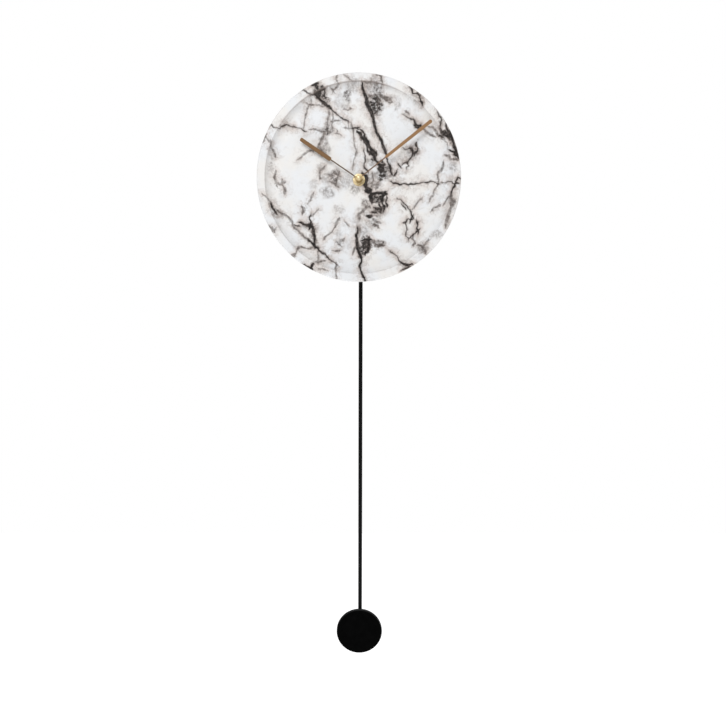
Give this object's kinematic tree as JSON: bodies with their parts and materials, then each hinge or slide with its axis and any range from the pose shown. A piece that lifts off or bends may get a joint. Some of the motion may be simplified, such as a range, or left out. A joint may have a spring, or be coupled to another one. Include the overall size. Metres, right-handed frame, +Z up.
{
  "type": "pendulum wall clock",
  "caption": "Round dished wall clock with a marble-print dial, slim copper hands, and a long black rod with a disc bob that swings below it.",
  "frame": {"origin": "centre of the hanging hole, on the wall plane", "axes": "+Z up, +Y into the wall that the clock hangs on, +X to the right as seen from the front; the dial faces -Y"},
  "size_m": [0.245, 0.0439, 0.7345],
  "materials": {
    "dial_marble": "glossy print of white marble with grey and near-black veins",
    "frame_black": "matt black moulding",
    "case_plastic": "fine-textured black moulding",
    "gear_plastic": "natural acetal, smooth",
    "knob_plastic": "light grey moulding",
    "arm_plastic": "white acetal, smooth",
    "plated_steel": "zinc-plated, satin",
    "pin_steel": "ground bright",
    "brass": "turned, bright",
    "hand_copper": "copper-coloured anodised aluminium, brushed satin",
    "rubber": "matt",
    "pad_felt": "soft foam",
    "board": "green solder mask",
    "coil_wire": "enamelled copper windings",
    "stator_steel": "pressed sheet, satin",
    "magnet": "sintered ferrite, dull grey",
    "battery_sleeve": "glossy printed sleeve over a steel can",
    "rod_black": "satin black powder coat",
    "bob_black": "satin black powder coat"
  },
  "bodies": {
    "root": {"dial_dish": "dial_marble", "back_frame": "frame_black", "frame_screws": "plated_steel", "hanger_plate": "plated_steel", "hanger_screws": "plated_steel", "wall_pads": "pad_felt", "movement_case": "case_plastic", "movement_cover": "case_plastic", "cover_screws": "plated_steel", "centre_bushing": "brass", "rubber_washer": "rubber", "brass_washer": "brass", "hex_nut": "brass", "motor_stator": "stator_steel", "motor_coil": "coil_wire", "circuit_board": "board", "quartz_crystal": "plated_steel", "battery": "battery_sleeve", "battery_spring": "plated_steel", "battery_contact": "plated_steel", "drive_coil": "coil_wire", "pivot_pin": "pin_steel"},
    "minute_arbor": {"centre_wheel": "gear_plastic", "minute_hand": "hand_copper", "cap_nut": "brass"},
    "hour_sleeve": {"hour_wheel": "gear_plastic", "hour_hand": "hand_copper"},
    "motion_gear": {"motion_wheel": "gear_plastic"},
    "set_knob": {"setting_knob": "knob_plastic"},
    "third_gear": {"third_wheel": "gear_plastic"},
    "second_gear": {"second_wheel": "gear_plastic"},
    "step_gear": {"step_wheel": "gear_plastic"},
    "rotor": {"motor_rotor": "magnet"},
    "pendulum": {"pendulum_arm": "arm_plastic", "arm_magnet": "magnet", "rod_hook": "plated_steel", "pendulum_rod": "rod_black", "bob_disc": "bob_black", "bob_clip": "frame_black", "clip_screws": "plated_steel"}
  },
  "joints": [
    {"name": "pendulum_swing", "type": "hinge", "parent": "root", "child": "pendulum", "pos_m": [0, -0.0085, -0.154], "axis": [0, 1, 0], "range_deg": [-6, 6]},
    {"name": "minute_turn", "type": "hinge", "parent": "root", "child": "minute_arbor", "pos_m": [0, -0.031, -0.098], "axis": [0, 1, 0], "continuous": true},
    {"name": "hour_turn", "type": "hinge", "parent": "root", "child": "hour_sleeve", "pos_m": [0, -0.031, -0.098], "axis": [0, 1, 0], "continuous": true},
    {"name": "motion_turn", "type": "hinge", "parent": "root", "child": "motion_gear", "pos_m": [0.00707, -0.0215, -0.09093], "axis": [0, 1, 0], "continuous": true},
    {"name": "knob_turn", "type": "hinge", "parent": "root", "child": "set_knob", "pos_m": [0.01647, -0.009, -0.08751], "axis": [0, 1, 0], "continuous": true},
    {"name": "third_turn", "type": "hinge", "parent": "root", "child": "third_gear", "pos_m": [-0.00818, -0.0175, -0.09327], "axis": [0, 1, 0], "continuous": true},
    {"name": "second_turn", "type": "hinge", "parent": "root", "child": "second_gear", "pos_m": [-0.01124, -0.016, -0.10166], "axis": [0, 1, 0], "continuous": true},
    {"name": "step_turn", "type": "hinge", "parent": "root", "child": "step_gear", "pos_m": [-0.01935, -0.018, -0.10384], "axis": [0, 1, 0], "continuous": true},
    {"name": "rotor_turn", "type": "hinge", "parent": "root", "child": "rotor", "pos_m": [-0.01453, -0.021, -0.11072], "axis": [0, 1, 0], "continuous": true}
  ],
  "couplings": [
    {"joint": "hour_turn", "follows": "minute_turn", "ratio": 0.083333},
    {"joint": "motion_turn", "follows": "minute_turn", "ratio": -0.33333},
    {"joint": "knob_turn", "follows": "minute_turn", "ratio": 1},
    {"joint": "third_turn", "follows": "minute_turn", "ratio": -8},
    {"joint": "second_turn", "follows": "minute_turn", "ratio": 60},
    {"joint": "step_turn", "follows": "minute_turn", "ratio": -300},
    {"joint": "rotor_turn", "follows": "minute_turn", "ratio": 1800}
  ]
}
